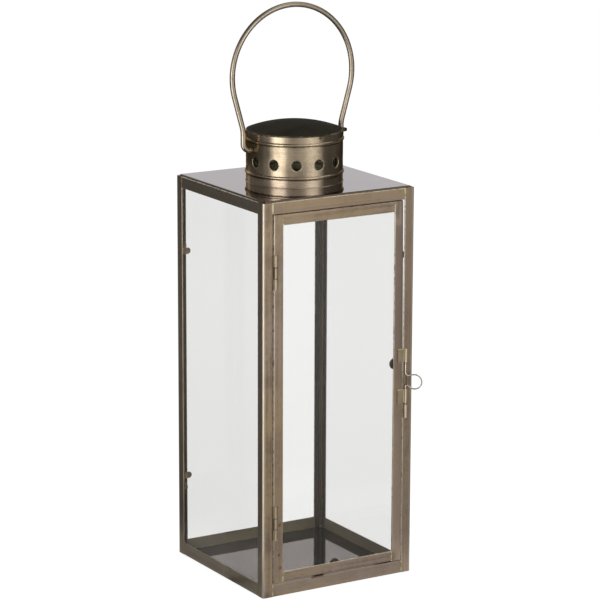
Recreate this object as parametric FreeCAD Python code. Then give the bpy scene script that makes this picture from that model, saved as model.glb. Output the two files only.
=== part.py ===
import FreeCAD, Part
import math
import os

# Candle lantern: a square soldered frame of brass angle and strip, glazed on four sides,
# with a hinged front door, a wire bolt latch, a round vented chimney and a wire bail.
# Millimetres. Origin at the middle of the base underside, +Z up, door on the -Y face,
# hinges on its -X side.

# Body
body_width = 141.0
body_height = 324.0
sheet = 1.0                      # angle and strip thickness
bend_inner = 0.3                 # inner radius of every folded corner
strip_edge_radius = 0.45         # softened long outer edges of strips and angles
post_leg = 8.8
top_rail_height = 9.4
bottom_rail_height = 10.4

# Roof tray and floor plate
plate_sheet = 0.8
plate_clearance = 0.1            # to the frame round them
tray_depth = 4.5                 # folded rims of the roof
tray_bend = 2.0                  # outer radius of the roof's rounded edges
roof_stand = 1.2                 # roof surface above the top of the rails
flue_ledge = 4.4                 # roof left inside the foot of the chimney

# Fixed glass
pane_thickness = 2.0
pane_corner_gap = 4.0            # free corner beside each pane edge
pane_end_gap = 0.3               # pane to the floor below and the roof's rims above

# Clips of the fixed glass, soldered into the corners
clip_sheet = 0.6
clip_height = 5.4
clip_reach = 3.2                 # past the edge of the post's leg
clip_corner_clearance = 0.3
back_clip_rise = 67.4            # lower clips above the underside of the body
back_clip_drop = 63.8            # upper clips below its top
side_clip_rise = 60.0
side_clip_drop = 57.0

# Door
door_hinge_gap = 1.1
door_latch_gap = 0.8
door_end_gap = 0.7
door_strip = 8.6                 # face width of the stiles
door_rail_height = 8.7
door_return = 5.0                # depth of the folded edge behind the face
door_glass_gap = 0.2             # glass to the inner bend of the folded edge
door_clip_width = 9.4
door_clip_reach = 2.4            # past the inner edge of the stile or rail
door_clip_depth = 1.8            # foot behind the arm
door_side_clip_offset = 16.4     # above the middle of the door
door_bottom_clip_offset = -1.6   # beside the middle of the body

# Hinges
hinge_lower_inset = 50.7         # hinge middle from the bottom of the door
hinge_upper_inset = 46.0         # hinge middle from the top of the door
knuckle_radius = 1.3
knuckle_length = 9.0
knuckle_gap = 0.3                # between knuckles along the pin
hinge_pin_radius = 0.65
hinge_running = 0.05             # pin in the door's knuckle
hinge_face_clearance = 0.35      # barrel to the face of the door
leaf_sheet = 0.5
leaf_corner_gap = 1.5            # frame leaf to the inner bend of the post
leaf_door_clearance = 0.3        # frame leaf to the edge of the door
pin_overhang = 0.4

# Latch
latch_offset = 1.5               # bolt axis past the edge of the post
latch_tube_radius = 1.05
latch_tube_length = 11.1
latch_face_clearance = 0.35      # guide tubes to the post behind them
guide_plate_width = 5.0          # on the face of the stile
bolt_radius = 0.6
bolt_running = 0.05              # bolt in the guides
keeper_running = 0.10            # bolt in the keeper
keeper_radius = 1.3
keeper_round = 0.35              # rounded ends of the keeper
keeper_foot_width = 1.8
latch_rise = 1.6                 # middle of the ring above the middle of the body
upper_guide_rise = 16.4          # foot of the upper guide above the middle of the ring
keeper_drop = 19.6               # top of the keeper below the middle of the ring
guide_keeper_gap = 1.8
bolt_tip_clearance = 0.3         # tip above the keeper at rest, so that the door swings free
bolt_ring_radius = 6.0
bolt_ring_reach = 7.2            # bolt axis to the ring's centre
bolt_ring_angle = 40.0           # ring turned out from the face of the door
bolt_upper_angle = 12.0          # rise of the upper lead from the axis to the ring
bolt_lower_angle = 38.0          # fall of the lower lead
bolt_elbow_upper = 2.2
bolt_elbow_lower = 1.1

# Chimney
chimney_radius = 39.4
chimney_sheet = 0.8
chimney_height = 41.0
lower_bead_rise = 7.8            # above the roof
upper_bead_drop = 6.2            # below the rim
bead_half_height = 1.4
bead_swell = 0.9
vent_count = 13
vent_radius = 4.1
vent_rise = 18.2                 # above the roof
vent_first_angle = -118.4
vent_lip = 0.7                   # flare round each vent hole
vent_lip_depth = 0.45
lid_rise = 7.2
lid_skirt_depth = 5.0
lid_skirt_clearance = 0.3
lid_ear_angle = -31.0
lid_ear_root = 1.9               # radius of the stud at its root
lid_ear_tip = 1.2
lid_ear_length = 2.8
lid_ear_round = 0.8              # rounded tip
lid_ear_gap = 0.3                # stud to the wall of the collar
lid_ear_neck = 3.0               # width of the tab it stands on

# Bail
bail_wire_radius = 2.2
bail_hole_clearance = 0.45
bail_pivot_drop = 13.2           # below the rim
bail_leg_gap = 3.5               # upright legs to the beads
bail_knee_rise = 16.2            # where the legs spread, above the pivot
bail_leg_angle = 16.0
bail_bulge = 10.0                # top radius beyond the upright legs
bail_elbow_radius = 5.5
bail_knee_radius = 20.0
bail_grip = 5.9                  # wire end inside the face of the collar
bail_shift = -1.8                # end play taken up to one side, as it hangs

# Derived places
half = body_width / 2
inside = half - sheet
roof_top = body_height + roof_stand
rim_top = roof_top + chimney_height
opening_half = half - post_leg
door_left = -opening_half + door_hinge_gap
door_right = opening_half - door_latch_gap
door_bottom = bottom_rail_height + door_end_gap
door_top = body_height - top_rail_height - door_end_gap
door_back = -half + sheet
glass_inner = door_back + pane_thickness
hinge_x = door_left - leaf_sheet + knuckle_radius
hinge_y = -half - hinge_face_clearance - knuckle_radius
latch_x = opening_half + latch_offset
latch_y = -half - latch_face_clearance - latch_tube_radius
ring_level = body_height / 2 + latch_rise
upper_guide_bottom = ring_level + upper_guide_rise
keeper_top = ring_level - keeper_drop
bail_pivot = rim_top - bail_pivot_drop
bail_leg_offset = chimney_radius + bead_swell + bail_leg_gap + bail_wire_radius
bail_top_radius = bail_leg_offset + bail_bulge
same_place = 1e-6                # two coordinates this close are one place
up = FreeCAD.Vector(0, 0, 1)
origin = FreeCAD.Vector(0, 0, 0)


def point(x, y, z=0.0):
    return FreeCAD.Vector(x, y, z)


def block(low, high):
    size = [b - a for a, b in zip(low, high)]
    return Part.makeBox(size[0], size[1], size[2], point(*low))


def turned(shape, angle, centre=origin, axis=up):
    copy = shape.copy()
    copy.rotate(centre, axis, angle)
    return copy


def moved(shape, x, y, z):
    copy = shape.copy()
    copy.translate(point(x, y, z))
    return copy


def mirrored_x(shape):
    return shape.mirror(origin, point(1, 0, 0))


def joined(first, *others):
    return first.fuse(list(others)).removeSplitter()


def export(node, shape):
    shape.exportStep("parts/" + node + ".step")


# Folded angle with its outer corner on the Z axis and its legs along +X and +Y.
def folded_angle(leg_x, leg_y, length):
    outer = block((0, 0, 0), (leg_x, leg_y, length))
    bar = outer.cut(block((sheet, sheet, 0), (leg_x, leg_y, length)))
    radii = {(0, 0): bend_inner + sheet, (sheet, sheet): bend_inner}
    for (x, y), radius in radii.items():
        corner = [e for e in bar.Edges if is_upright_at(e, x, y)]
        bar = bar.makeFillet(radius, corner)
    tips = [(leg_x, 0), (0, leg_y)]
    edges = [e for e in bar.Edges if any(is_upright_at(e, x, y) for x, y in tips)]
    return bar.makeFillet(strip_edge_radius, edges)


def is_upright_at(edge, x, y):
    return all(math.hypot(v.X - x, v.Y - y) < same_place for v in edge.Vertexes)


# Flat strip on the front face, seen from outside with both long outer edges softened.
def front_strip(half_length, bottom, top):
    strip = block((-half_length, -half, bottom), (half_length, -inside, top))
    face = [e for e in strip.Edges if all(v.Y < -inside - same_place for v in e.Vertexes)]
    long_edges = [e for e in face if abs(e.Vertexes[0].Z - e.Vertexes[1].Z) < same_place]
    return strip.makeFillet(strip_edge_radius, long_edges)


def build_frame():
    post = moved(folded_angle(post_leg, post_leg, body_height), -half, -half, 0)
    corners = {"front_left": 0, "front_right": 90, "back_right": 180, "back_left": 270}
    for corner, angle in corners.items():
        export("post_" + corner, turned(post, angle))
    top_rail = front_strip(opening_half, body_height - top_rail_height, body_height)
    bottom_rail = front_strip(opening_half, 0, bottom_rail_height)
    sides = {"front": 0, "right": 90, "back": 180, "left": 270}
    for side, angle in sides.items():
        export("top_rail_" + side, turned(top_rail, angle))
        export("bottom_rail_" + side, turned(bottom_rail, angle))


# Block on the XY plane with its upright and its upper edges rounded over.
def rounded_block(reach, height, radius):
    plain = block((-reach, -reach, 0), (reach, reach, height))
    edges = [e for e in plain.Edges if any(v.Z > same_place for v in e.Vertexes)]
    return plain.makeFillet(radius, edges)


# The roof is a pressed tray, open downwards, that stands a little above the rails.
def roof_tray():
    reach = inside - plate_clearance
    outer = rounded_block(reach, tray_depth, tray_bend)
    inner = rounded_block(reach - plate_sheet, tray_depth - plate_sheet, tray_bend - plate_sheet)
    flue = Part.makeCylinder(chimney_radius - flue_ledge, tray_depth)
    return moved(outer.cut([inner, flue]), 0, 0, roof_top - tray_depth)


def build_plates():
    reach = inside - plate_clearance
    export("floor_plate", block((-reach, -reach, 0), (reach, reach, plate_sheet)))
    export("roof_plate", roof_tray())


# The panes stand on the floor, behind the posts and rails.
def build_panes():
    reach = inside - pane_corner_gap
    bottom = plate_sheet + pane_end_gap
    top = roof_top - tray_depth - pane_end_gap
    back = block((-reach, inside - pane_thickness, bottom), (reach, inside, top))
    for side, angle in {"back": 0, "left": 90, "right": 270}.items():
        export("glass_" + side, turned(back, angle))


# Round-ended tongue in the XZ plane, its root at x = 0 and its tip towards +X.
def tongue(length, width, thickness):
    radius = width / 2
    straight = block((0, 0, -radius), (length - radius, thickness, radius))
    tip = Part.makeCylinder(radius, thickness, point(length - radius, 0, 0), point(0, 1, 0))
    return joined(straight, tip)


# Clip of the back pane in the back left corner: a foot on the post's side leg and a tongue
# along the inner face of the glass.
def corner_clip(level):
    length = inside - opening_half + clip_reach
    face = inside - pane_thickness - clip_sheet
    arm = moved(tongue(length, clip_height, clip_sheet), -inside, face, level)
    low = (-inside, face, level - clip_height / 2)
    high = (-inside + clip_sheet, inside - clip_corner_clearance, level + clip_height / 2)
    return joined(arm, block(low, high))


def build_pane_clips():
    back_levels = (back_clip_rise, body_height - back_clip_drop)
    back = [corner_clip(z) for z in back_levels]
    export("glass_clips_back", Part.makeCompound(back))
    diagonal = point(1, 1, 0).normalize()
    side_levels = (side_clip_rise, body_height - side_clip_drop)
    left = [corner_clip(z).mirror(origin, diagonal) for z in side_levels]
    export("glass_clips_left", Part.makeCompound(left))
    export("glass_clips_right", Part.makeCompound([turned(clip, 180) for clip in left]))


def build_door():
    stile = folded_angle(door_strip, door_return, door_top - door_bottom)
    export("door_stile_hinge", moved(stile, door_left, -half, door_bottom))
    export("door_stile_latch", moved(mirrored_x(stile), door_right, -half, door_bottom))
    middle = point(0, 0, (door_bottom + door_top) / 2)
    export("door_rail_bottom", door_rail())
    export("door_rail_top", door_rail().mirror(middle, up))
    edge = sheet + bend_inner + door_glass_gap
    low = (door_left + edge, door_back, door_bottom + edge)
    high = (door_right - edge, glass_inner, door_top - edge)
    export("door_glass", block(low, high))
    export("door_glass_clips", Part.makeCompound([side_clip(), bottom_clip()]))


# Lower rail of the door: its face lies between the stiles and its folded edge runs on behind
# them, short of their inner bends.
def door_rail():
    length = door_right - door_left - 2 * door_strip
    rail = turned(folded_angle(door_rail_height, door_return, length), -90, origin, point(0, 1, 0))
    rail = moved(rail, door_right - door_strip, -half, door_bottom)
    bend = sheet + bend_inner
    low = (door_left + bend, -half + bend, door_bottom)
    high = (door_right - bend, -half + door_return, door_bottom + sheet)
    return joined(rail, block(low, high))


# Clip of the door glass, its foot at x = 0 against a folded edge and its tongue along +X.
def door_clip(strip_width):
    length = strip_width - sheet + door_clip_reach
    arm = tongue(length, door_clip_width, clip_sheet)
    radius = door_clip_width / 2
    return joined(arm, block((0, 0, -radius), (clip_sheet, door_clip_depth, radius)))


def side_clip():
    clip = mirrored_x(door_clip(door_strip))
    level = (door_bottom + door_top) / 2 + door_side_clip_offset
    return moved(clip, door_right - sheet, glass_inner, level)


def bottom_clip():
    clip = turned(door_clip(door_rail_height), -90, origin, point(0, 1, 0))
    return moved(clip, door_bottom_clip_offset, glass_inner, door_bottom + sheet)


# Each hinge has three knuckles: the frame's two outside, the door's one between them.
def build_hinges():
    pitch = knuckle_length + knuckle_gap
    leaf_width = post_leg - sheet - bend_inner - leaf_corner_gap
    levels = {"lower": door_bottom + hinge_lower_inset, "upper": door_top - hinge_upper_inset}
    for name, level in levels.items():
        middle = level - knuckle_length / 2
        low = (-opening_half - leaf_width, -inside, middle - pitch)
        high = (-opening_half, -inside + leaf_sheet, middle + pitch + knuckle_length)
        knuckles = [frame_knuckle(middle + step * pitch) for step in (-1, 1)]
        export("hinge_" + name + "_frame_leaf", joined(block(low, high), *knuckles))
        export("hinge_" + name + "_door_leaf", door_knuckle(middle))
        bottom = middle - pitch - pin_overhang
        length = 2 * pitch + knuckle_length + 2 * pin_overhang
        pin = Part.makeCylinder(hinge_pin_radius, length, point(hinge_x, hinge_y, bottom))
        export("hinge_" + name + "_pin", pin)


def knuckle(bottom, web_low, web_high, bore_radius):
    axis_point = point(hinge_x, hinge_y, bottom)
    barrel = Part.makeCylinder(knuckle_radius, knuckle_length, axis_point)
    low = (web_low, hinge_y, bottom)
    high = (web_high[0], web_high[1], bottom + knuckle_length)
    bore = Part.makeCylinder(bore_radius, knuckle_length, axis_point)
    return joined(barrel, block(low, high)).cut(bore)


# The frame's web comes forward through the gap beside the door.
def frame_knuckle(bottom):
    web_high = (door_left - leaf_door_clearance, -inside + leaf_sheet)
    return knuckle(bottom, -opening_half, web_high, hinge_pin_radius)


# The door's leaf lies along the folded edge of the stile.
def door_knuckle(bottom):
    web_high = (door_left, -half + door_return)
    return knuckle(bottom, door_left - leaf_sheet, web_high, hinge_pin_radius + hinge_running)


# Guide: a plate on the stile, joggled clear of the post and rolled into a tube.
def latch_guide(bottom):
    bore = bolt_radius + bolt_running
    outer_face = latch_y + bore
    plate_low = (door_right - guide_plate_width, outer_face, bottom)
    plate_high = (door_right, -half, bottom + latch_tube_length)
    arm_low = (door_right, outer_face, bottom)
    arm_high = (latch_x, latch_y + latch_tube_radius, bottom + latch_tube_length)
    rolled = latch_tube(bottom, latch_tube_radius)
    shape = joined(rolled, block(plate_low, plate_high), block(arm_low, arm_high))
    return shape.cut(latch_tube(bottom, bore))


def latch_tube(bottom, radius):
    return Part.makeCylinder(radius, latch_tube_length, point(latch_x, latch_y, bottom))


# Keeper: a stouter tube with rounded ends, on a solder foot against the post.
def latch_keeper():
    bottom = keeper_top - latch_tube_length
    bore = bolt_radius + keeper_running
    outer = latch_tube(bottom, keeper_radius)
    ends = [e for e in outer.Edges if len(e.Vertexes) == 1]
    outer = outer.makeFillet(keeper_round, ends)
    low = (latch_x - keeper_foot_width / 2, latch_y, bottom + keeper_round)
    high = (latch_x + keeper_foot_width / 2, -half, keeper_top - keeper_round)
    return joined(outer, block(low, high)).cut(latch_tube(bottom, bore))


def line(start, end):
    return Part.makeLine(point(*start), point(*end))


def arc(start, middle, end):
    return Part.Arc(point(*start), point(*middle), point(*end)).toShape()


# Round wire of one section swept along straight runs and tangent arcs.
def swept_wire(edges, radius):
    path = Part.Wire(edges)
    first = edges[0]
    heading = first.tangentAt(first.FirstParameter)
    section = Part.Wire([Part.makeCircle(radius, first.Vertexes[0].Point, heading)])
    return path.makePipeShell([section], True, False)


# Point on a circle in the XZ plane, the angle counted from +X towards +Z.
def on_circle(centre, radius, degrees):
    angle = math.radians(degrees)
    return (centre[0] + radius * math.cos(angle), 0, centre[1] + radius * math.sin(angle))


# Bolt in the XZ plane with its axis on X = 0: down the axis, out to the open ring, round it,
# back to the axis and down to the tip.
def latch_bolt():
    top = upper_guide_bottom + latch_tube_length
    tip = keeper_top + bolt_tip_clearance
    ring = (bolt_ring_reach, ring_level)
    upper_tangent = on_circle(ring, bolt_ring_radius, 90 + bolt_upper_angle)
    lower_tangent = on_circle(ring, bolt_ring_radius, -90 - bolt_lower_angle)
    rise = upper_tangent[0] * math.tan(math.radians(bolt_upper_angle))
    fall = lower_tangent[0] * math.tan(math.radians(bolt_lower_angle))
    upper = elbow(upper_tangent[2] - rise, bolt_elbow_upper, bolt_upper_angle)
    lower = elbow(lower_tangent[2] + fall, bolt_elbow_lower, bolt_lower_angle, -1)
    edges = []
    edges.append(line((0, 0, top), upper[0]))
    edges.append(arc(*upper))
    edges.append(line(upper[2], upper_tangent))
    edges.append(arc(upper_tangent, on_circle(ring, bolt_ring_radius, 0), lower_tangent))
    edges.append(line(lower_tangent, lower[2]))
    edges.append(arc(lower[2], lower[1], lower[0]))
    edges.append(line(lower[0], (0, 0, tip)))
    wire = swept_wire(edges, bolt_radius)
    return moved(turned(wire, -bolt_ring_angle), latch_x, latch_y, 0)


# Elbow between the bolt's axis and a lead that leaves it at the given corner level: its start
# on the axis, its middle and its end on the lead. side = -1 turns it upside down.
def elbow(corner, radius, lead_angle, side=1):
    turn = 90 + lead_angle
    setback = radius * math.tan(math.radians(turn / 2))
    angles = (180, 180 + turn / 2, 180 + turn)
    places = [on_circle((radius, setback), radius, angle) for angle in angles]
    return [(x, 0, corner + side * z) for x, y, z in places]


def build_latch():
    lower_bottom = keeper_top + guide_keeper_gap
    export("latch_guide_upper", latch_guide(upper_guide_bottom))
    export("latch_guide_lower", latch_guide(lower_bottom))
    export("latch_keeper", latch_keeper())
    export("latch_bolt", latch_bolt())


# Wall of the collar in the XZ plane, bottom to top, swelling at each bead.
def collar_side(radius):
    edges = []
    last = (radius, 0, roof_top)
    for level in (roof_top + lower_bead_rise, rim_top - upper_bead_drop):
        start = (radius, 0, level - bead_half_height)
        end = (radius, 0, level + bead_half_height)
        edges.append(line(last, start))
        edges.append(arc(start, (radius + bead_swell, 0, level), end))
        last = end
    edges.append(line(last, (radius, 0, rim_top)))
    return edges


def chimney_collar():
    inner = chimney_radius - chimney_sheet
    ends = [line((inner, 0, z), (chimney_radius, 0, z)) for z in (roof_top, rim_top)]
    outline = Part.__sortEdges__(collar_side(chimney_radius) + collar_side(inner) + ends)
    collar = Part.Face(Part.Wire(outline)).revolve(origin, up, 360)
    holes = [vent(index * 360 / vent_count + vent_first_angle) for index in range(vent_count)]
    pivot = point(-2 * chimney_radius, 0, bail_pivot)
    bail_hole = bail_wire_radius + bail_hole_clearance
    holes.append(Part.makeCylinder(bail_hole, 4 * chimney_radius, pivot, point(1, 0, 0)))
    return collar.cut(holes)


# Vent hole with a flared lip, cut outwards along +X and then turned to its place. The flare
# runs on as far outside the wall as it is deep.
def vent(angle):
    level = roof_top + vent_rise
    along = point(1, 0, 0)
    start = point(chimney_radius / 2, 0, level)
    hole = Part.makeCylinder(vent_radius, chimney_radius, start, along)
    lip_start = point(chimney_radius - vent_lip_depth, 0, level)
    lip_end = vent_radius + 2 * vent_lip
    flare = Part.makeCone(vent_radius, lip_end, 2 * vent_lip_depth, lip_start, along)
    return turned(hole.fuse(flare), angle)


# Dome of even thickness on a short upright edge, with a skirt that plugs the collar.
def chimney_lid():
    edge_top = rim_top + plate_sheet
    sphere = (chimney_radius ** 2 + lid_rise ** 2) / (2 * lid_rise)
    centre = point(0, 0, edge_top + lid_rise - sphere)
    dome = Part.makeSphere(sphere, centre).cut(Part.makeSphere(sphere - plate_sheet, centre))
    keep = Part.makeCylinder(chimney_radius, 2 * lid_rise, point(0, 0, edge_top))
    dome = dome.common(keep)
    skirt_outer = chimney_radius - chimney_sheet - lid_skirt_clearance
    skirt_inner = skirt_outer - plate_sheet
    edge = Part.makeCylinder(chimney_radius, plate_sheet, point(0, 0, rim_top))
    skirt_foot = point(0, 0, rim_top - lid_skirt_depth)
    skirt = Part.makeCylinder(skirt_outer, lid_skirt_depth, skirt_foot)
    bore = Part.makeCylinder(skirt_inner, lid_skirt_depth + plate_sheet, skirt_foot)
    return joined(dome, joined(edge, skirt).cut(bore), lid_ear())


# Small tapered stud on a tab of the lid's edge, clear of the collar.
def lid_ear():
    root = chimney_radius + lid_ear_gap
    start = point(root, 0, rim_top + plate_sheet / 2)
    stud = Part.makeCone(lid_ear_root, lid_ear_tip, lid_ear_length, start, point(1, 0, 0))
    tip = [e for e in stud.Edges if e.BoundBox.XMin > root + lid_ear_length - same_place]
    stud = stud.makeFillet(lid_ear_round, tip)
    low = (chimney_radius - plate_sheet, -lid_ear_neck / 2, rim_top)
    tab = block(low, (root + lid_ear_gap, lid_ear_neck / 2, rim_top + plate_sheet))
    return turned(joined(stud, tab), lid_ear_angle)


# Half of the bail in the XZ plane, from the inner end of the wire up to the middle of the loop.
def bail_half(side):
    tilt = math.radians(bail_leg_angle)
    elbow_centre = (bail_leg_offset - bail_elbow_radius, bail_pivot + bail_elbow_radius)
    elbow_arc = [on_circle(elbow_centre, bail_elbow_radius, angle) for angle in (-90, -45, 0)]
    knee = bail_pivot + bail_knee_rise
    knee_centre = (bail_leg_offset + bail_knee_radius, knee - bail_knee_radius * math.tan(tilt / 2))
    knee_angles = (180, 180 - bail_leg_angle / 2, 180 - bail_leg_angle)
    knee_arc = [on_circle(knee_centre, bail_knee_radius, angle) for angle in knee_angles]
    spread = bail_top_radius * math.cos(tilt) - bail_leg_offset
    crown_level = knee + spread / math.tan(tilt) + bail_top_radius * math.sin(tilt)
    crown_angles = (-bail_leg_angle, 45, 90)
    crown = [on_circle((0, crown_level), bail_top_radius, angle) for angle in crown_angles]
    end = (chimney_radius - bail_grip, 0, bail_pivot)
    runs = [[end, elbow_arc[0]], elbow_arc, [elbow_arc[2], knee_arc[0]], knee_arc]
    runs += [[knee_arc[2], crown[0]], crown]
    return [[(side * x, y, z) for x, y, z in run] for run in runs]


def bail_handle():
    right = bail_half(1)
    left = [run[::-1] for run in bail_half(-1)[::-1]]
    edges = [line(*run) if len(run) == 2 else arc(*run) for run in right + left]
    return moved(swept_wire(edges, bail_wire_radius), bail_shift, 0, 0)


def build_chimney():
    export("chimney_collar", chimney_collar())
    export("chimney_lid", chimney_lid())
    export("bail_handle", bail_handle())


os.makedirs("parts", exist_ok=True)
build_frame()
build_plates()
build_panes()
build_pane_clips()
build_door()
build_hinges()
build_latch()
build_chimney()
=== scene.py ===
import math

import bpy
from mathutils import Matrix, Vector


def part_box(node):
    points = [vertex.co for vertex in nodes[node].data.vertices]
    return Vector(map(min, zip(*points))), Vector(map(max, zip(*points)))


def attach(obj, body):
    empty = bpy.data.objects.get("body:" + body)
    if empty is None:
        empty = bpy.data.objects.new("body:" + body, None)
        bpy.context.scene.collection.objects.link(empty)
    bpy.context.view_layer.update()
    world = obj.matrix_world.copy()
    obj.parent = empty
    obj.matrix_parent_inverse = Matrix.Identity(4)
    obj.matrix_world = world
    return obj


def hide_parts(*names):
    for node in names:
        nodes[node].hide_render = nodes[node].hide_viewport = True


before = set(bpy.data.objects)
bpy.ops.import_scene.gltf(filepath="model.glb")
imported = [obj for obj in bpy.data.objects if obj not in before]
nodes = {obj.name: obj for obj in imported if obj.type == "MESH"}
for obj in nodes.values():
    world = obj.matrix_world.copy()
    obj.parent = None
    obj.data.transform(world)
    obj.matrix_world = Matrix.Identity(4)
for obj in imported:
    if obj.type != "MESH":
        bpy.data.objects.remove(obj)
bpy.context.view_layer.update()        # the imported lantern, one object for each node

scene = bpy.context.scene
scene.view_settings.view_transform = "Standard"
print("lantern loaded:", len(nodes), "nodes")


# Shader maths: a wrapped socket, so that sums on it add Math nodes
class Value:
    def __init__(self, shader, socket):
        self.shader = shader
        self.socket = socket

    def sum(self, operation, first, second):
        return self.shader.add("ShaderNodeMath", {"operation": operation}, {0: first, 1: second})

    def __add__(self, other):
        return self.sum("ADD", self, other)

    def __sub__(self, other):
        return self.sum("SUBTRACT", self, other)

    def __rsub__(self, other):
        return self.sum("SUBTRACT", other, self)

    def __mul__(self, other):
        return self.sum("MULTIPLY", self, other)

    def __truediv__(self, other):
        return self.sum("DIVIDE", self, other)

    def __pow__(self, other):
        return self.sum("POWER", self, other)

    def __abs__(self):
        return self.sum("ABSOLUTE", self, 0.0)

    def most(self, other):
        return self.sum("MAXIMUM", self, other)

    # 0 below low and 1 above high, eased between; low may be the larger
    def rise(self, low, high):
        settings = {"interpolation_type": "SMOOTHSTEP"}
        inputs = {"Value": self, "From Min": low, "From Max": high}
        return self.shader.add("ShaderNodeMapRange", settings, inputs)

    # 1 where the value is this, fading to 0 over the width on both sides
    def near(self, place, width):
        return abs(self - place).rise(width, 0.0)

    __radd__ = __add__
    __rmul__ = __mul__


class Shader:
    def __init__(self, tree):
        self.tree = tree
        tree.nodes.clear()

    # any node: its type, its settings, the values or links of its sockets, the output wanted
    def add(self, kind, settings=None, inputs=None, output=0):
        node = self.tree.nodes.new(kind)
        for name, setting in (settings or {}).items():
            setattr(node, name, setting)
        for key, given in (inputs or {}).items():
            if isinstance(given, Value):
                self.tree.links.new(given.socket, node.inputs[key])
            else:
                node.inputs[key].default_value = given
        return Value(self, node.outputs[output]) if node.outputs else None

    def place(self, stretch=(1, 1, 1), turn=(0, 0, 0)):
        spot = self.add("ShaderNodeTexCoord", output="Object")
        inputs = {"Vector": spot, "Rotation": turn, "Scale": stretch}
        return self.add("ShaderNodeMapping", None, inputs)

    def axes(self):
        spot = self.add("ShaderNodeTexCoord", output="Object")
        return [self.add("ShaderNodeSeparateXYZ", None, {0: spot}, axis) for axis in "XYZ"]

    def normal(self):
        way = self.add("ShaderNodeTexCoord", output="Normal")
        return [self.add("ShaderNodeSeparateXYZ", None, {0: way}, axis) for axis in "XYZ"]

    def away(self, place):
        spot = self.add("ShaderNodeTexCoord", output="Object")
        return self.add("ShaderNodeVectorMath", {"operation": "DISTANCE"}, {0: spot, 1: place}, "Value")

    def noise(self, where, scale, detail=3.0, roughness=0.5):
        inputs = {"Vector": where, "Scale": scale, "Detail": detail, "Roughness": roughness}
        return self.add("ShaderNodeTexNoise", None, inputs)

    def tint(self, share, first, second):
        inputs = {0: share, 6: opaque(first), 7: opaque(second)}
        return self.add("ShaderNodeMix", {"data_type": "RGBA"}, inputs, 2)

    def bump(self, height, strength, distance):
        inputs = {"Height": height, "Strength": strength, "Distance": distance}
        return self.add("ShaderNodeBump", None, inputs)

    def metal(self, colour, roughness, normal, more=None):
        inputs = {"Base Color": colour, "Roughness": roughness, "Metallic": 1.0, "Normal": normal}
        inputs.update(more or {})
        return self.add("ShaderNodeBsdfPrincipled", None, inputs)

    def show(self, surface):
        self.add("ShaderNodeOutputMaterial", None, {"Surface": surface})


def opaque(colour):
    return colour if isinstance(colour, Value) else (*colour, 1.0)


def newMaterial(name):
    material = bpy.data.materials.new(name)
    material.use_nodes = True
    return material, Shader(material.node_tree)


def dress(names, material):
    for name in names:
        for slot in nodes[name].material_slots:
            slot.material = material


# Camera at the photograph's viewing angle
view = {
    "place": (-1.1847, -1.9770, 0.7658),
    "yaw": 31.054,       # degrees
    "pitch": 13.213,
    "roll": 0.197,
    "lens": 173.2,
    "sensor": 36.0,
    "clip": 50.0,
}


def setCamera():
    yaw, pitch, roll = (math.radians(view[name]) for name in ("yaw", "pitch", "roll"))
    level = Vector((math.sin(yaw), math.cos(yaw), 0))
    ahead = level * math.cos(pitch) - Vector((0, 0, math.sin(pitch)))
    right = ahead.cross(Vector((0, 0, 1))).normalized()
    above = right.cross(ahead)
    side = right * math.cos(roll) + above * math.sin(roll)
    top = above * math.cos(roll) - right * math.sin(roll)
    turn = Matrix((side, top, -ahead)).transposed().to_4x4()
    bpy.ops.object.camera_add()
    camera = bpy.context.object
    camera.matrix_world = Matrix.Translation(view["place"]) @ turn
    camera.data.lens = view["lens"]
    camera.data.sensor_width = view["sensor"]
    camera.data.clip_end = view["clip"]
    scene.camera = camera


setCamera()
print("camera set")

# White sweep with a dim room round it, as polished metal sees it
studio = {
    "floorRadius": 6.0,
    "floorSides": 96,
    "floorLevel": -0.0003,       # just below the feet
    "floorColour": (0.60, 0.60, 0.60),
    "floorLift": 0.80,           # glow of the floor as the camera sees it
    "ambient": 0.36,
    "backGlow": 0.06,
    "shade": 0.55,               # share of the glow left on the floor close to the lantern
    "shadeReach": (0.1, 1.0),
    "lowSky": (0.6, 0.35),       # heights between which the lights end
    "lightFoot": (0.20, 0.11),   # below this even a first reflection sees them in full
    "skyShare": 0.8,             # the room above the floor against its glow on it
    "glare": 1.4,                # most that a light shows in its first reflection, but for its foot
}
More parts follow.
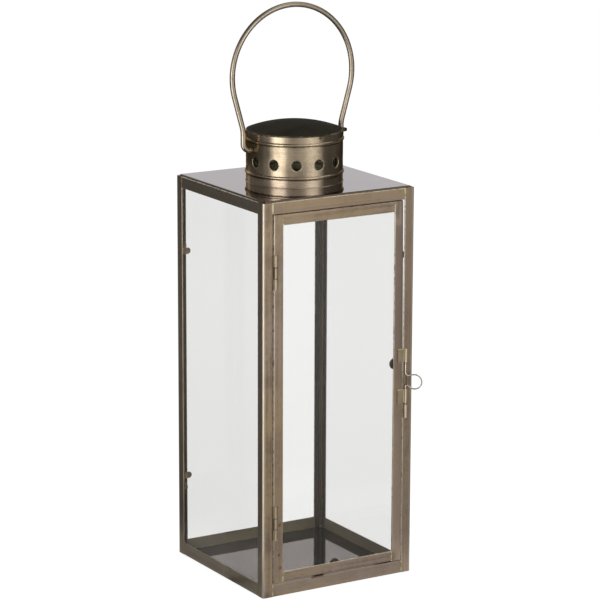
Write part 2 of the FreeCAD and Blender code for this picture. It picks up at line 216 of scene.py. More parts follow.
# turn is where a light stands, half and edge how wide it is and how softly it ends, all in degrees;
# reach is where its glow starts and is full on the floor, in metres,
# and lift and top are its glow just above the floor and overhead against that
softBoxes = {
    "panel": {"turn": -80, "half": 18, "edge": 17, "glow": 0.58,
              "reach": (-1.0, 0.0), "lift": 1.8, "top": 1.0},
    "fill": {"turn": -128, "half": 22, "edge": 26, "glow": 0.43,
             "reach": (-1.0, 0.0), "lift": 1.8, "top": 0.5},
    "left": {"turn": -158, "half": 2, "edge": 22, "glow": 2.6,
             "reach": (0.08, 0.30), "lift": 1.65, "top": 0.0},
    "edge": {"turn": -172, "half": 6, "edge": 32, "glow": 0.28,
             "reach": (0.4, 1.2), "lift": 1.8, "top": 0.0},
    "front": {"turn": -77, "half": 4, "edge": 17, "glow": 0.62,
              "reach": (0.35, 1.1), "lift": 5.2, "top": 0.0},
    "rim": {"turn": 132, "half": 20, "edge": 30, "glow": 0.16,
            "reach": (1.75, 1.05), "lift": 1.8, "top": 0.0},
    "far": {"turn": 70, "half": 30, "edge": 14, "glow": 0.65,
            "reach": (4.0, 6.0), "lift": 1.75, "top": 0.0},
    "right": {"turn": 30, "half": 60, "edge": 40, "glow": 0.24,
              "reach": (1.40, 0.95), "lift": 0.6, "top": 0.0},
    "footLeft": {"turn": 121, "half": 60, "edge": 20, "glow": 0.45,
                 "reach": (0.22, 0.12), "lift": 0.0, "top": 0.0},
    "footFront": {"turn": -70, "half": 50, "edge": 20, "glow": 0.74,
                  "reach": (0.22, 0.12), "lift": 0.0, "top": 0.0},
}
overhead = {"turn": -24, "lift": 56, "half": 14, "edge": 20, "glow": 0.9}
lamps = {
    "leftStrip": {"turn": -157, "far": 1.25, "size": (0.34, 1.5), "middle": 0.78, "power": 4.0},
    "frontStrip": {"turn": -87, "far": 1.25, "size": (0.34, 1.5), "middle": 0.78, "power": 4.0},
}


# how much of a light shows in a level direction x, y
def lightShare(x, y, light):
    turn = math.radians(light["turn"])
    outer = math.cos(math.radians(light["half"] + light["edge"]))
    inner = math.cos(math.radians(light["half"]))
    return (x * math.cos(turn) + y * math.sin(turn)).rise(outer, inner)


# dim behind, and the boxes as far as each one shows
def studioGlow(x, y, shows):
    glow = studio["backGlow"]
    for box in softBoxes.values():
        glow = (lightShare(x, y, box) * shows(box) * box["glow"]).most(glow)
    return glow


# 1 for rays that a surface has reflected, and 1 for what comes straight through the panes
def lightPaths(shader):
    reflected = shader.add("ShaderNodeLightPath", output="Glossy Depth").rise(0.2, 0.8)
    through = shader.add("ShaderNodeLightPath", output="Is Transmission Ray") * (1 - reflected)
    return reflected, through


def levelWay(x, y):
    reach = (x * x + y * y) ** 0.5 + 0.001
    return x / reach, y / reach, reach


def setWorld():
    world = bpy.data.worlds.new("studio")
    world.use_nodes = True
    scene.world = world
    shader = Shader(world.node_tree)
    way = shader.add("ShaderNodeTexCoord", output="Generated")
    x, y, z = (shader.add("ShaderNodeSeparateXYZ", None, {0: way}, axis) for axis in "XYZ")
    reflected, through = lightPaths(shader)
    white = shader.add("ShaderNodeLightPath", output="Is Camera Ray").most(through)
    levelX, levelY, reach = levelWay(x, y)
    low = z.rise(*studio["lowSky"])
    again = shader.add("ShaderNodeLightPath", output="Glossy Depth").rise(1.2, 1.8)
    full = again.most(z.rise(*studio["lightFoot"]))

    def shows(box):
        first = min(box["lift"], studio["glare"] / box["glow"])
        return low * (first - box["top"] + full * (box["lift"] - first)) + box["top"]

    glow = studioGlow(levelX, levelY, shows)
    turn, lift = math.radians(overhead["turn"]), math.radians(overhead["lift"])
    level = (x * math.cos(turn) + y * math.sin(turn)) * math.cos(lift)
    outer = math.cos(math.radians(overhead["half"] + overhead["edge"]))
    inner = math.cos(math.radians(overhead["half"]))
    glow = glow.most((level + z * math.sin(lift)).rise(outer, inner) * overhead["glow"])
    seen = reflected * glow * studio["skyShare"] + (1 - reflected) * studio["ambient"]
    inputs = {"Color": opaque((1, 1, 1)), "Strength": white + (1 - white) * seen}
    background = shader.add("ShaderNodeBackground", None, inputs)
    shader.add("ShaderNodeOutputWorld", None, {"Surface": background})


def setFloor():
    bpy.ops.object.select_all(action="DESELECT")
    bpy.ops.mesh.primitive_circle_add(vertices=studio["floorSides"], radius=studio["floorRadius"],
                                      fill_type="NGON", location=(0, 0, studio["floorLevel"]))
    floor = bpy.context.object
    floor.name = "floor"
    material, shader = newMaterial("paleFloor")
    x, y = shader.axes()[:2]
    levelX, levelY, reach = levelWay(x, y)
    camera = shader.add("ShaderNodeLightPath", output="Is Camera Ray")
    reflected, through = lightPaths(shader)
    close = studio["shade"] + reach.rise(*studio["shadeReach"]) * (1 - studio["shade"])
    glow = studioGlow(levelX, levelY, lambda box: reach.rise(*box["reach"])) * close
    matt = shader.add("ShaderNodeBsdfDiffuse", None, {"Color": opaque(studio["floorColour"])})
    lift = shader.add("ShaderNodeEmission", None, {"Strength": camera * studio["floorLift"]})
    lit = shader.add("ShaderNodeAddShader", None, {0: matt, 1: lift})
    flat = through.most(reflected)
    seen = shader.add("ShaderNodeEmission", None, {"Strength": through + (1 - through) * glow})
    shader.show(shader.add("ShaderNodeMixShader", None, {0: flat, 1: lit, 2: seen}))
    floor.data.materials.append(material)


def setLamps():
    for name, lamp in lamps.items():
        turn = math.radians(lamp["turn"])
        spot = Vector((math.cos(turn), math.sin(turn), 0)) * lamp["far"]
        spot.z = lamp["middle"]
        bpy.ops.object.light_add(type="AREA", location=spot)
        light = bpy.context.object
        light.name = name
        light.data.shape = "RECTANGLE"
        light.data.size, light.data.size_y = lamp["size"]
        light.data.energy = lamp["power"]
        light.rotation_euler = (math.radians(90), 0, turn + math.radians(90))
        light.visible_glossy = False     # metal sees the soft boxes of the studio instead
        light.visible_camera = light.visible_transmission = False


setWorld()
setFloor()
setLamps()
print("stage set")

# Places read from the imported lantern
postLow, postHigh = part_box("post_front_left")
topLow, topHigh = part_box("top_rail_front")
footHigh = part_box("bottom_rail_front")[1]
hingeLow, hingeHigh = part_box("door_stile_hinge")
latchLow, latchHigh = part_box("door_stile_latch")
doorTopLow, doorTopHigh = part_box("door_rail_top")
doorFootLow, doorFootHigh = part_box("door_rail_bottom")
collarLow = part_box("chimney_collar")[0]
corner = -postLow.x      # outer faces
leg = -postHigh.x        # inner edges of the posts' legs

# Aged brass strip, brushed along its length, worn bright and painted with highlights at the edges and the
# rounded corner, and stained by solder
agedBrass = {
    "plain": (0.540, 0.412, 0.300),
    "warm": (0.550, 0.405, 0.248),
    "mauve": (0.510, 0.402, 0.335),
    "tan": (0.590, 0.410, 0.225),
    "dark": (0.240, 0.176, 0.120),
    "shaded": (0.338, 0.258, 0.202),
    # painted light on the foot of the latch side
    "paintedFootLight": (0.860, 0.680, 0.520),
    # painted shade on the faces inside the posts, stiles and clips
    "insideShade": (0.140, 0.119, 0.075),
    # painted shade on the faces inside the rails, which are made matt
    "pale": (0.235, 0.198, 0.122),
    # painted light: the lighter, greyer tone of the faces turned to the left
    "side": (0.420, 0.410, 0.350),
    # worn bright, and the painted highlight on the edges and the rounded corner
    "wearAndHighlight": (1.000, 0.880, 0.700),
    "stain": (0.500, 0.410, 0.220),
    "rust": (0.300, 0.110, 0.040),
    # dark colour of the painted shadow lines, gaps and flanks, and of the knuckles' ends
    "darkTone": (0.110, 0.080, 0.052),
    "rough": 0.27,
    "fine": 1500.0,              # brush lines to the metre, across the grain and along it
    "along": 14.0,
    "streak": 420.0,
    "streakAlong": 6.0,
    "blotch": 30.0,
    "broad": 9.0,
    "fleck": 260.0,
    "tanWidth": 0.0024,          # tan line beside the corner's painted highlight
    "tanShare": 0.7,
    "leftLightShare": 0.4,
    "latchFrom": -0.02,          # where the latch side begins
    "shadedLevels": (0.06, 0.25),
    "paintedFootLightLevels": (0.19, 0.03),
    "stainAcross": 0.006,
    "stainAlong": 0.009,
    "stainShare": 0.75,
    "skin": (0.0002, 0.0006),    # depths between which the inside begins
    "wearAndHighlightWidth": 0.0009,
    "cornerWidth": 0.0038,
    "cornerShare": 0.9,
    "shadowWidth": 0.0008,
    "shadowEase": 0.0005,
    "shadowShare": 0.8,
    "slotHeight": 0.0016,
    "slotEase": 0.0008,
    "slotShare": 0.9,
    "rustShare": 0.8,
    "brushed": (0.12, 0.00004),  # strength and depth of the brush lines
}


# edges are planes worn bright and painted with a highlight, as axis, place and share; a joint is stained
# where two planes meet.
# the left side is painted lighter and greyer, painted light on the faces turned that way; inside is the
# tint and share of painted shade on the faces towards the candle, and dull takes their metal look; shaded
# darkens the top by the latch, painted shade, and paintedFootLight is painted light that brightens its
# foot; shadowLines are painted shadows running up at x, slots are painted shadows of gaps between two
# places along x at a level, and rust spots are places with their radius
def brushedBrass(name, grain, edges, joints=(), aged=0.62, inside=("insideShade", 0.0), dull=0.0, shaded=0.0,
                 paintedFootLight=0.0, shadowLines=(), slots=(), rustSpots=()):
    material, shader = newMaterial(name)
    spot = dict(zip("XYZ", shader.axes()))
    stretch = [agedBrass["fine"]] * 3
    stretch["XYZ".index(grain)] = agedBrass["along"]
    lines = shader.noise(shader.place(stretch), 1.0, 2.0, 0.6)
    coarse = [agedBrass["streak"] if size > agedBrass["along"] else agedBrass["streakAlong"]
              for size in stretch]
    streaks = shader.noise(shader.place(coarse), 1.0, 3.0, 0.6)
    clouds = shader.noise(shader.place(), agedBrass["blotch"], 4.0, 0.6)
    broad = shader.noise(shader.place(), agedBrass["broad"], 2.0, 0.5)
    fleck = shader.noise(shader.place(), agedBrass["fleck"], 4.0, 0.65)
    hue = shader.tint((broad * 0.6 + streaks * 0.4).rise(0.4, 0.6), agedBrass["warm"], agedBrass["mauve"])
    hue = shader.tint(clouds.rise(0.35, 0.65) * 0.5, hue, agedBrass["plain"])
    fold = (abs(spot["X"]) + abs(spot["Y"])) - (2 * corner - agedBrass["cornerWidth"])
    hue = shader.tint(fold.near(0.0, agedBrass["tanWidth"]) * agedBrass["tanShare"], hue, agedBrass["tan"])
    age = (clouds + lines * 0.25 + (streaks - 0.5) * 0.8 + (fleck - 0.5) * 0.4).rise(0.49, 0.86)
    colour = shader.tint(age * aged, hue, agedBrass["dark"])
    # painted light: faces turned to the left are tinted lighter and greyer
    side = shader.normal()[0].rise(-0.6, -0.95)
    colour = shader.tint(side * agedBrass["leftLightShare"], colour, agedBrass["side"])
    latchSide = spot["X"].rise(agedBrass["latchFrom"], corner)
    # painted shade darkens the top by the latch side and painted light brightens its foot
    above = latchSide * spot["Z"].rise(*agedBrass["shadedLevels"])
    litFoot = latchSide * spot["Z"].rise(*agedBrass["paintedFootLightLevels"])
    colour = shader.tint(above * shaded, colour, agedBrass["shaded"])
    colour = shader.tint(litFoot * paintedFootLight, colour, agedBrass["paintedFootLight"])
    for (first, firstPlace), (second, secondPlace) in joints:
        stain = spot[first].near(firstPlace, agedBrass["stainAcross"])
        stain = stain * spot[second].near(secondPlace, agedBrass["stainAlong"])
        stain = stain * fleck.rise(0.42, 0.6) * agedBrass["stainShare"]
        colour = shader.tint(stain, colour, agedBrass["stain"])
    # painted shade on the faces inside the frame
    inner = abs(spot["X"]).most(abs(spot["Y"])).rise(*(corner - depth for depth in agedBrass["skin"]))
    colour = shader.tint(inner * inside[1], colour, agedBrass[inside[0]])
    # painted highlight along the rounded corner, and edges worn bright with a painted highlight on them
    wearAndHighlight = fold.rise(0.0, agedBrass["cornerWidth"]) ** 2.0 * agedBrass["cornerShare"]
    for axis, place, share in edges:
        wearAndHighlight = wearAndHighlight.most(spot[axis].near(place, agedBrass["wearAndHighlightWidth"]) * fleck.rise(0.3, 0.55) * share)
    colour = shader.tint(wearAndHighlight, colour, agedBrass["wearAndHighlight"])
    # painted shadow lines beside the hinges and the latch's guides
    for x, low, high in shadowLines:
        ease = agedBrass["shadowEase"]
        ends = spot["Z"].rise(low - ease, low) * spot["Z"].rise(high + ease, high)
        line = spot["X"].near(x, agedBrass["shadowWidth"]) * ends
        colour = shader.tint(line * agedBrass["shadowShare"], colour, agedBrass["darkTone"])
    # painted shadows of the open gaps under the door
    for low, high, level in slots:
        ease = agedBrass["slotEase"]
        ends = spot["X"].rise(low - ease, low) * spot["X"].rise(high + ease, high)
        slot = spot["Z"].near(level, agedBrass["slotHeight"]) * ends
        colour = shader.tint(slot * agedBrass["slotShare"], colour, agedBrass["darkTone"])
    for place, radius in rustSpots:
        rust = (shader.away(place) + (fleck - 0.5) * (2 * radius)).rise(radius, radius * 0.4)
        colour = shader.tint(rust * agedBrass["rustShare"], colour, agedBrass["rust"])
    rough = agedBrass["rough"] + lines * 0.14 + age * 0.08
    metallic = {"Metallic": 1 - inner * dull}
    shader.show(shader.metal(colour, rough, shader.bump(lines, *agedBrass["brushed"]), metallic))
    return material


# where stains, rust, painted shadow lines and painted shadows of gaps sit on the strips, in metres
marks = {
    "topStain": 0.004,           # stains below the top of the frame and above its foot
    "footStain": 0.005,
    "doorStain": 0.004,          # in from the ends of the door
    "hingeShadow": 0.0012,        # painted shadow beside the hinges' leaves
    "postShadow": 0.0004,         # painted shadows beside the edge of the post and beside the guides
    "guideShadow": 0.0006,
    "slot": (-0.0244, -0.0140),  # painted shadows of gaps under the door, from and to
    "fineSlot": (0.0350, 0.0480),
    "fineSlotRise": 0.0009,
    "rust": (((-0.0551, 0.0600), 0.0024), ((-0.0572, 0.0745), 0.0012),
             ((-0.0556, 0.0345), 0.0015), ((-0.0545, 0.0235), 0.0019)),
}
legEdges = [(axis, side * leg) for axis in "XY" for side in (-1, 1)]
frameJoints = [(edge, ("Z", level)) for edge in legEdges
               for level in (topHigh.z - marks["topStain"], marks["footStain"])]
postEdges = [(axis, place, 0.75 if axis == "X" else 0.15) for axis, place in legEdges]
railEdges = [("Z", topHigh.z, 1.0), ("Z", topLow.z, 0.5), ("Z", footHigh.z, 0.2)]
stileEdges = [("X", place, 0.75) for place in (hingeLow.x, hingeHigh.x, latchLow.x, latchHigh.x)]
doorRailEdges = [("Z", end.z, 0.8) for end in (doorTopHigh, doorTopLow, doorFootHigh)]
doorRailEdges.append(("Z", doorFootLow.z, 0.1))
doorJoints = [(("X", place), ("Z", level)) for place in (hingeHigh.x, latchLow.x)
              for level in (doorTopHigh.z - marks["doorStain"], doorFootLow.z + marks["doorStain"])]
hinges = [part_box(name) for name in nodes if name.startswith("hinge_") and name.endswith("_frame_leaf")]
# painted shadow lines beside the hinges' leaves, and beside the post's edge and the guides by the latch
hingeShadow = [(high.x + marks["hingeShadow"], low.z, high.z) for low, high in hinges]
keeperLow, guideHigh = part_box("latch_keeper")[0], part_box("latch_guide_upper")[1]
latchShadow = [(x, keeperLow.z, guideHigh.z)
              for x in (leg + marks["postShadow"], guideHigh.x + marks["guideShadow"])]
# painted shadows of the gaps under the door, on the bottom rail and the door's bottom rail
railSlots = [(*marks["slot"], footHigh.z), (*marks["fineSlot"], footHigh.z + marks["fineSlotRise"])]
doorSlots = [(*marks["slot"], doorFootLow.z)]
stileRust = [((x, -corner, z), radius) for (x, z), radius in marks["rust"]]
uprightBrass = brushedBrass("uprightBrass", "Z", postEdges, frameJoints, aged=0.74, inside=("insideShade", 0.75),
                            dull=0.35, shaded=0.50, paintedFootLight=0.30, shadowLines=latchShadow)
crossBrass = brushedBrass("crossBrass", "X", railEdges, frameJoints, aged=0.32, inside=("pale", 0.8),
                          dull=1.0, slots=railSlots)
sideBrass = brushedBrass("sideBrass", "Y", railEdges, frameJoints, aged=0.55, inside=("pale", 0.8),
                         dull=1.0)
stileBrass = brushedBrass("stileBrass", "Z", stileEdges, doorJoints, aged=0.45, inside=("insideShade", 0.5),
                          shaded=0.90, paintedFootLight=0.55, shadowLines=hingeShadow, rustSpots=stileRust)
doorRailBrass = brushedBrass("doorRailBrass", "X", doorRailEdges, doorJoints, aged=0.58,
                             slots=doorSlots)
dress([name for name in nodes if name.startswith("post_")], uprightBrass)
dress(["top_rail_front", "top_rail_back", "bottom_rail_front", "bottom_rail_back"], crossBrass)
dress(["top_rail_left", "top_rail_right", "bottom_rail_left", "bottom_rail_right"], sideBrass)
dress(["door_stile_hinge", "door_stile_latch"], stileBrass)
dress(["door_rail_top", "door_rail_bottom"], doorRailBrass)
clipBrass = brushedBrass("clipBrass", "Z", [], dull=0.5)
dress([name for name in nodes if name.startswith("glass_clips")], clipBrass)
dress(["door_glass_clips"], brushedBrass("doorClipBrass", "Z", [], inside=("insideShade", 0.9), dull=0.5))
print("strips brushed")

# Latch stile as it hangs: its free edge leans from the post at the top and meets it at the foot
latchStile = {"topGap": 0.0015, "footGap": 0.0001, "meets": 0.140, "fold": 0.0014, "cuts": 14}


def editAll():
    bpy.ops.object.mode_set(mode="EDIT")
    bpy.ops.mesh.select_all(action="SELECT")


def leaningStile(material):
    bpy.ops.object.select_all(action="DESELECT")
    bpy.ops.object.add(type="MESH")
    stile = bpy.context.object
    stile.name = "latchStile"
    stile.data = nodes["door_stile_latch"].data.copy()
    editAll()
    bpy.ops.mesh.remove_doubles(threshold=0.000001)
    for cut in range(1, latchStile["cuts"]):
        bpy.ops.mesh.select_all(action="SELECT")
        level = latchLow.z + (latchHigh.z - latchLow.z) * cut / latchStile["cuts"]
        bpy.ops.mesh.bisect(plane_co=(0, 0, level), plane_no=(0, 0, 1))
    bpy.ops.object.mode_set(mode="OBJECT")
    for vertex in stile.data.vertices:
        if vertex.co.x > latchHigh.x - latchStile["fold"]:
            height = max(0, (vertex.co.z - latchStile["meets"]) / (latchHigh.z - latchStile["meets"]))
            gap = latchStile["footGap"] + height ** 1.5 * (latchStile["topGap"] - latchStile["footGap"])
            vertex.co.x += leg - latchHigh.x - gap
    bpy.ops.object.shade_smooth_by_angle(angle=math.radians(30))
    stile.data.materials.clear()
    stile.data.materials.append(material)
    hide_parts("door_stile_latch")
    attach(stile, "door")


leaningStile(stileBrass)
print("latch stile hung")

# Chimney collar: turned lines round it, soot inside, pale rings round the vents, worn and partly painted
# highlights, painted light below the lower bead, and painted shadows under the beads and round the bail's
# holes
turnedBrass = {
    "bright": (0.630, 0.505, 0.354),
    "dark": (0.240, 0.195, 0.130),
    "pale": (0.900, 0.780, 0.600),
    # colour of the painted shadows under the beads and round the bail's holes
    "darkening": (0.110, 0.085, 0.050),
    "soot": (0.400, 0.350, 0.235),
    "rust": (0.140, 0.050, 0.025),
    "glancing": (0.280, 0.240, 0.190),   # tint of its shine where it turns away
    "rough": 0.22,
    "spread": 0.75,          # the turned lines spread its shine up and down
    "fine": 1700.0,
    "ventCount": 13,
    "ventFirst": -118.4,     # degrees
    "ventLevel": 0.3434,
    "ventRadius": 0.0041,
    "radius": 0.0394,
    "beads": (0.3330, 0.3600),
    "bailLevel": 0.3530,
    "agedShare": 0.75,
    "neckShare": 0.2,            # painted light: paler below the lower bead
    "neckEase": 0.002,
    "ringOut": 0.0005,           # pale ring from the edge of a vent, worn and partly a painted highlight
    "ringWidth": 0.0011,
    "ringShare": 0.45,
    "beadShadow": (0.0017, 0.0007),    # painted shadow below a bead, and its width
    "holeShadow": (0.0190, 0.0070),    # painted shadow of the bail: reach round its holes, and where it is full
    "holeShadowShare": 0.6,
    "shadowAndRustShare": 0.8,
    "rustReach": (0.0022, 0.0010),
    "wall": (0.010, 0.004),      # the soot starts where faces turn inwards
    "turned": (0.12, 0.00004),   # strength and depth of the turned lines
    "rustPlace": (0.0006, -0.0394, 0.3652),
}


def collarBrass():
    material, shader = newMaterial("collarBrass")
    x, y, z = shader.axes()
    lines = shader.noise(shader.place((9, 9, turnedBrass["fine"])), 1.0, 2.0, 0.6)
    clouds = shader.noise(shader.place(), 55.0, 4.0, 0.62)
    streaks = shader.noise(shader.place((160, 160, 14)), 1.0, 3.0, 0.6)
    age = (clouds * 0.7 + streaks * 0.35 + lines * 0.2).rise(0.5, 0.85)
    colour = shader.tint(age * turnedBrass["agedShare"], turnedBrass["bright"], turnedBrass["dark"])
    # painted light: paler below the lower bead
    neckTop = turnedBrass["beads"][0]
    neck = z.rise(neckTop, neckTop - turnedBrass["neckEase"])
    colour = shader.tint(neck * turnedBrass["neckShare"], colour, turnedBrass["pale"])
    turns = x.sum("ARCTAN2", y, x) * (turnedBrass["ventCount"] / (2 * math.pi))
    turns = turns - turnedBrass["ventFirst"] / 360 * turnedBrass["ventCount"] + 0.5
    share = turns.sum("FRACT", turns, 0.0) - 0.5
    arc = share * (2 * math.pi * turnedBrass["radius"] / turnedBrass["ventCount"])
    away = (arc * arc + (z - turnedBrass["ventLevel"]) ** 2.0) ** 0.5
    # pale ring round each vent, worn and partly a painted highlight
    ring = away.near(turnedBrass["ventRadius"] + turnedBrass["ringOut"], turnedBrass["ringWidth"])
    colour = shader.tint(ring * turnedBrass["ringShare"], colour, turnedBrass["pale"])
    # painted shadow under each bead
    drop, width = turnedBrass["beadShadow"]
    for bead in turnedBrass["beads"]:
        darkening = z.near(bead - drop, width) * clouds.rise(0.3, 0.5)
        colour = shader.tint(darkening * turnedBrass["shadowAndRustShare"], colour, turnedBrass["darkening"])
    # painted shadow of the bail round its holes
    for side in (-1, 1):
        hole = (side * turnedBrass["radius"], 0, turnedBrass["bailLevel"])
        darkening = (shader.away(hole) + (clouds - 0.5) * 0.006).rise(*turnedBrass["holeShadow"])
        colour = shader.tint(darkening * turnedBrass["holeShadowShare"], colour, turnedBrass["darkening"])
    rust = (shader.away(turnedBrass["rustPlace"]) + (clouds - 0.5) * 0.003).rise(*turnedBrass["rustReach"])
    colour = shader.tint(rust * turnedBrass["shadowAndRustShare"], colour, turnedBrass["rust"])
    normalX, normalY = shader.normal()[:2]
    inside = (x * normalX + y * normalY).rise(*turnedBrass["wall"])
    colour = shader.tint(inside, colour, turnedBrass["soot"])
    rough = turnedBrass["rough"] + lines * 0.10 + age * 0.06 + inside * 0.35 + ring * 0.2
    more = {
        "Anisotropic": turnedBrass["spread"],
        "Anisotropic Rotation": 0.25,
        "Specular Tint": opaque(turnedBrass["glancing"]),
    }
    shader.show(shader.metal(colour, rough, shader.bump(lines, *turnedBrass["turned"]), more))
    return material


collarFinish = collarBrass()
dress(["chimney_collar"], collarFinish)

# Dark lid
lidFinish = {
    "bright": (0.044, 0.038, 0.025),
    "dark": (0.029, 0.025, 0.017),
    "edge": (0.300, 0.230, 0.160),
    "rough": 0.72,
    "metallic": 0.1,
    "shine": 0.08,
    "rimWidth": 0.0016,
    "rimShare": 0.7,
}


def lidPatina():
    material, shader = newMaterial("lidPatina")
    x, y = shader.axes()[:2]
    clouds = shader.noise(shader.place(), 60.0, 5.0, 0.65)
    specks = shader.noise(shader.place(), 900.0, 2.0, 0.5)
    age = (clouds + specks * 0.3).rise(0.45, 0.9)
    colour = shader.tint(age, lidFinish["bright"], lidFinish["dark"])
    # rim tinted lighter brown in patches: worn, and partly a painted highlight on its edge
    rim = ((x * x + y * y) ** 0.5).near(turnedBrass["radius"], lidFinish["rimWidth"])
    rim = rim * clouds.rise(0.35, 0.6) * lidFinish["rimShare"]
    colour = shader.tint(rim, colour, lidFinish["edge"])
    rough = lidFinish["rough"] + clouds * 0.1
    more = {"Metallic": lidFinish["metallic"], "Specular IOR Level": lidFinish["shine"]}
    shader.show(shader.metal(colour, rough, shader.bump(specks, 0.06, 0.00005), more))
    return material


dress(["chimney_lid"], lidPatina())

# Roof and floor plates, lacquered and polished to a mirror, with a painted reflection in the bend at their
# edges
roofFinish = {"clean": (0.228, 0.188, 0.204), "smudge": (0.270, 0.238, 0.230), "rough": 0.035}
floorFinish = {"clean": (0.150, 0.121, 0.108), "smudge": (0.180, 0.150, 0.130), "rough": 0.045}
bentEdge = {"colour": (0.190, 0.145, 0.095), "depths": (0.0026, 0.0020)}


def plateLacquer(name, finish):
    material, shader = newMaterial(name)
    x, y = shader.axes()[:2]
    clouds = shader.noise(shader.place(), 40.0, 4.0, 0.6)
    hair = shader.noise(shader.place((900, 20, 900), (0, 0, 0.6)), 1.0, 2.0, 0.5)
    smudge = clouds.rise(0.5, 0.8)
    colour = shader.tint(smudge, finish["clean"], finish["smudge"])
    # painted reflection: the bend at the plate's edge is tinted darker brown
    bent = abs(x).most(abs(y)).rise(*(corner - depth for depth in bentEdge["depths"]))
    colour = shader.tint(bent, colour, bentEdge["colour"])
    rough = finish["rough"] + smudge * 0.05 + hair * 0.02
    shader.show(shader.metal(colour, rough, shader.bump(hair, 0.01, 0.00002)))
    return material


dress(["roof_plate"], plateLacquer("roofLacquer", roofFinish))
dress(["floor_plate"], plateLacquer("floorLacquer", floorFinish))

# Hinges, and the latch with its tubes and bolt rubbed bright, with painted highlights on the latch and
# painted shade on its flanks
hardware = {
    "aged": (0.540, 0.430, 0.300),
    "bright": (1.000, 0.860, 0.610),
    "dark": (0.300, 0.225, 0.150),
    "spot": (0.480, 0.420, 0.160),
    "wire": (0.930, 0.850, 0.740),
    "wireDark": (0.560, 0.490, 0.430),
    "rough": 0.30,
    "flankDull": 0.6,        # painted shade: flanks away from the light are painted dark and made less metallic
    "flankTurn": (-0.70, -0.86),
    "flankShare": 0.8,
    "spotShare": 0.85,
    "edgeWidth": 0.0007,
    "knuckleShare": 0.85,
    "brightEase": 0.0006,
}


def paleWire():
    material, shader = newMaterial("paleWire")
    lines = shader.noise(shader.place((900, 900, 2400)), 1.0, 2.0, 0.6)
    clouds = shader.noise(shader.place(), 160.0, 3.0, 0.6)
    colour = shader.tint((clouds + lines * 0.3).rise(0.5, 0.8), hardware["wire"], hardware["wireDark"])
    rough = 0.2 + lines * 0.12
    shader.show(shader.metal(colour, rough, shader.bump(lines, 0.08, 0.00002), {"Metallic": 0.8}))
    return material


# rubbed bright to a share past a place along x, partly a painted highlight; painted highlights along the
# top edges of the plates; darker at the knuckles' ends
def hardwareBrass(name, brightFrom, share, topEdges=(), knuckleEnds=()):
    material, shader = newMaterial(name)
    x, z = shader.axes()[::2]
    lines = shader.noise(shader.place((1800, 1800, 60)), 1.0, 2.0, 0.6)
    clouds = shader.noise(shader.place(), 130.0, 3.0, 0.6)
    flecks = shader.noise(shader.place(), 620.0, 3.0, 0.6)
    age = (clouds + lines * 0.25).rise(0.5, 0.85)
    plate = shader.tint(flecks.rise(0.50, 0.62) * hardware["spotShare"], hardware["aged"], hardware["spot"])
    flank = shader.normal()[0].rise(*hardware["flankTurn"])
    # rubbed bright past brightFrom, partly a painted highlight, and painted highlights along the plates'
    # top edges
    bright = x.rise(brightFrom, brightFrom + hardware["brightEase"]) * share
    for level in topEdges:
        bright = bright.most(z.near(level, hardware["edgeWidth"]))
    colour = shader.tint(bright, plate, hardware["bright"])
    colour = shader.tint(age * (0.35 - bright * 0.25), colour, hardware["dark"])
    for level in knuckleEnds:
        darkening = z.near(level, hardware["edgeWidth"]) * hardware["knuckleShare"]
        colour = shader.tint(darkening, colour, agedBrass["darkTone"])
    # painted shade on the flanks away from the light
    colour = shader.tint(flank * hardware["flankShare"], colour, agedBrass["darkTone"])
    rough = hardware["rough"] + lines * 0.1 + age * 0.1
    more = {"Metallic": 0.9 - bright * 0.25 - flank * hardware["flankDull"]}
    shader.show(shader.metal(colour, rough, shader.bump(lines, 0.08, 0.00003), more))
    return material


guideTops = [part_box(name)[1].z for name in ("latch_guide_upper", "latch_guide_lower")]
knuckleEnds = [end.z for name in nodes if name.startswith("hinge_") and name.endswith("_door_leaf")
               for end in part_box(name)]
hingeBrass = hardwareBrass("hingeBrass", -corner, 0.35, (), knuckleEnds)
latchBrass = hardwareBrass("latchBrass", leg - 0.0004, 1.0, guideTops)
dress([name for name in nodes if name.startswith("hinge_")], hingeBrass)
dress([name for name in nodes if name.startswith("latch_")], latchBrass)
dress(["latch_bolt"], paleWire())

# Bail wire
wireFinish = {
    "bright": (0.600, 0.505, 0.390),
    "dark": (0.300, 0.235, 0.165),
    "rough": 0.24,
}


def wireBrass():
    material, shader = newMaterial("wireBrass")
    lines = shader.noise(shader.place((500, 1500, 500)), 1.0, 3.0, 0.6)
    clouds = shader.noise(shader.place(), 45.0, 4.0, 0.6)
    age = (clouds + lines * 0.25).rise(0.5, 0.85)
    colour = shader.tint(age * 0.6, wireFinish["bright"], wireFinish["dark"])
    rough = wireFinish["rough"] + lines * 0.14
    shader.show(shader.metal(colour, rough, shader.bump(lines, 0.12, 0.00004)))
    return material


dress(["bail_handle"], wireBrass())
print("chimney, plates, hardware and bail finished")

# Solder left proud of the joints: seams on the front of the frame and door, pools in the
# inner corners of the floor and a fillet round the foot of the chimney
solder = {
    "pale": (0.960, 0.870, 0.670),
    "dull": (0.500, 0.410, 0.250),
    "seamWidth": 0.0011,
    "seamProud": 0.00022,
    "seamShort": 0.0006,         # left free at the ends of a joint
    "seamCuts": 7,
    "seamBevel": 0.04,           # share of the bar
    "poolRadius": 0.0030,
    "poolHeight": 0.0010,
    "poolSunk": 0.0003,
    "poolInset": 0.0011,
    "poolSides": (24, 12),
    "footRadius": 0.0005,
    "footSides": (180, 10),
    "rippleSize": 0.0018,
    "ripple": 0.00016,
    "footRipple": 0.00004,
    "rough": 0.34,
}


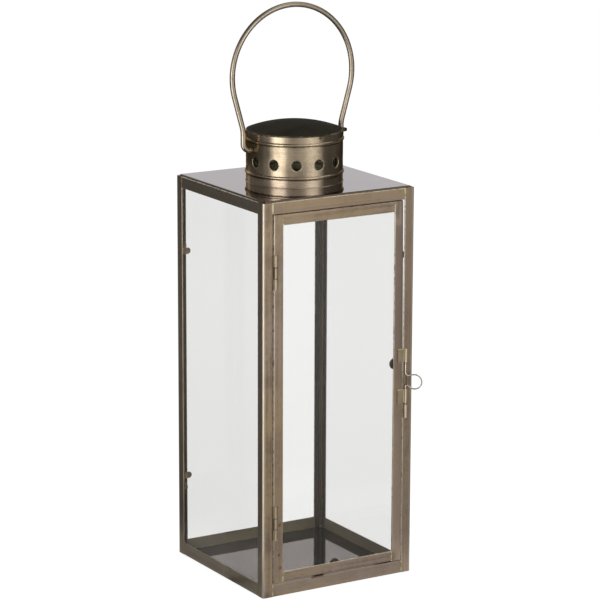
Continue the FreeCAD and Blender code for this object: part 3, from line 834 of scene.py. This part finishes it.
def solderMetal():
    material, shader = newMaterial("solderMetal")
    clouds = shader.noise(shader.place(), 330.0, 3.0, 0.6)
    grains = shader.noise(shader.place(), 2600.0, 2.0, 0.5)
    colour = shader.tint(clouds.rise(0.40, 0.60), solder["pale"], solder["dull"])
    rough = solder["rough"] + clouds * 0.2
    shader.show(shader.metal(colour, rough, shader.bump(grains, 0.1, 0.00004)))
    return material


rippleTexture = bpy.data.textures.new("ripple", "CLOUDS")
rippleTexture.noise_scale = solder["rippleSize"]
rippleTexture.noise_depth = 1


# swelled and rippled as it froze, with its place put into the mesh
def freeze(piece, body, material, rippled):
    bpy.ops.object.transform_apply(location=True, rotation=True, scale=True)
    bpy.ops.object.modifier_add(type="SUBSURF")
    piece.modifiers[-1].levels = piece.modifiers[-1].render_levels = 1
    bpy.ops.object.modifier_apply(modifier=piece.modifiers[-1].name)
    bpy.ops.object.modifier_add(type="DISPLACE")
    ripple = piece.modifiers[-1]
    ripple.texture = rippleTexture
    ripple.strength = rippled
    bpy.ops.object.modifier_apply(modifier=ripple.name)
    bpy.ops.object.shade_smooth()
    piece.data.materials.append(material)
    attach(piece, body)


# one seam modelled as a bar with tapered ends, the rest copied from its mesh
def solderSeams(material):
    bpy.ops.object.select_all(action="DESELECT")
    bpy.ops.mesh.primitive_cube_add(size=1)
    model = bpy.context.object
    editAll()
    bpy.ops.mesh.subdivide(number_cuts=solder["seamCuts"])
    bpy.ops.mesh.bevel(offset=solder["seamBevel"], segments=2)
    bpy.ops.object.mode_set(mode="OBJECT")
    bar = model.data
    joints = [("frame", side * leg, low, high) for side in (-1, 1)
              for low, high in ((topLow.z, topHigh.z), (solder["seamShort"], footHigh.z))]
    joints += [("door", x, low, high) for x in (hingeHigh.x, latchLow.x)
               for low, high in ((doorTopLow.z, doorTopHigh.z), (doorFootLow.z, doorFootHigh.z))]
    for number, (body, x, low, high) in enumerate(joints):
        bpy.ops.object.select_all(action="DESELECT")
        bpy.ops.object.add(type="MESH", location=(x, -corner, (low + high) / 2))
        seam = bpy.context.object
        seam.name = body + "SolderSeam" + str(number + 1)
        seam.data = bar.copy()
        seam.scale = (solder["seamWidth"], 2 * solder["seamProud"], high - low - solder["seamShort"])
        freeze(seam, body, material, solder["ripple"])
    bpy.data.objects.remove(model)


def solderPools(material):
    reach = corner - solder["poolInset"]
    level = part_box("floor_plate")[1].z
    segments, rings = solder["poolSides"]
    for number, (x, y) in enumerate([(a * reach, b * reach) for a in (-1, 1) for b in (-1, 1)]):
        bpy.ops.object.select_all(action="DESELECT")
        bpy.ops.mesh.primitive_uv_sphere_add(segments=segments, ring_count=rings,
                                             radius=solder["poolRadius"], location=(x, y, level))
        pool = bpy.context.object
        pool.name = "solderPool" + str(number + 1)
        editAll()
        bpy.ops.transform.resize(value=(1, 1, solder["poolHeight"] / solder["poolRadius"]))
        for out in ((math.copysign(1, x), 0, 0), (0, math.copysign(1, y), 0), (0, 0, -1)):
            bpy.ops.mesh.select_all(action="SELECT")
            bpy.ops.mesh.bisect(plane_co=(x, y, level - solder["poolSunk"]), plane_no=out, use_fill=True,
                                clear_outer=True)
        bpy.ops.mesh.select_all(action="SELECT")
        bpy.ops.mesh.normals_make_consistent(inside=False)
        bpy.ops.object.mode_set(mode="OBJECT")
        freeze(pool, "frame", material, solder["ripple"])


def solderFillet(material):
    bpy.ops.object.select_all(action="DESELECT")
    segments, sides = solder["footSides"]
    bpy.ops.mesh.primitive_torus_add(major_segments=segments, minor_segments=sides,
                                     major_radius=turnedBrass["radius"],
                                     minor_radius=solder["footRadius"], location=(0, 0, collarLow.z))
    fillet = bpy.context.object
    fillet.name = "chimneySolderFillet"
    freeze(fillet, "frame", material, solder["footRipple"])


solderFinish = solderMetal()
solderSeams(solderFinish)
solderPools(solderFinish)
solderFillet(collarFinish)
print("joints soldered")

# Clear panes
paneFinish = {"tint": (0.968, 0.969, 0.962), "bend": 1.42, "haze": 0.02}


def clearGlass():
    material, shader = newMaterial("clearGlass")
    haze = shader.noise(shader.place(), 25.0, 4.0, 0.6)
    inputs = {
        "Base Color": opaque(paneFinish["tint"]),
        "Roughness": haze.rise(0.55, 0.9) * paneFinish["haze"],
        "IOR": paneFinish["bend"],
        "Transmission Weight": 1.0,
    }
    pane = shader.add("ShaderNodeBsdfPrincipled", None, inputs)
    clear = shader.add("ShaderNodeBsdfTransparent")
    shadow = shader.add("ShaderNodeLightPath", output="Is Shadow Ray")
    scattered = shader.add("ShaderNodeLightPath", output="Is Diffuse Ray")
    shader.show(shader.add("ShaderNodeMixShader", None, {0: shadow.most(scattered), 1: pane, 2: clear}))
    return material


dress(["door_glass", "glass_back", "glass_left", "glass_right"], clearGlass())
print("panes glazed")
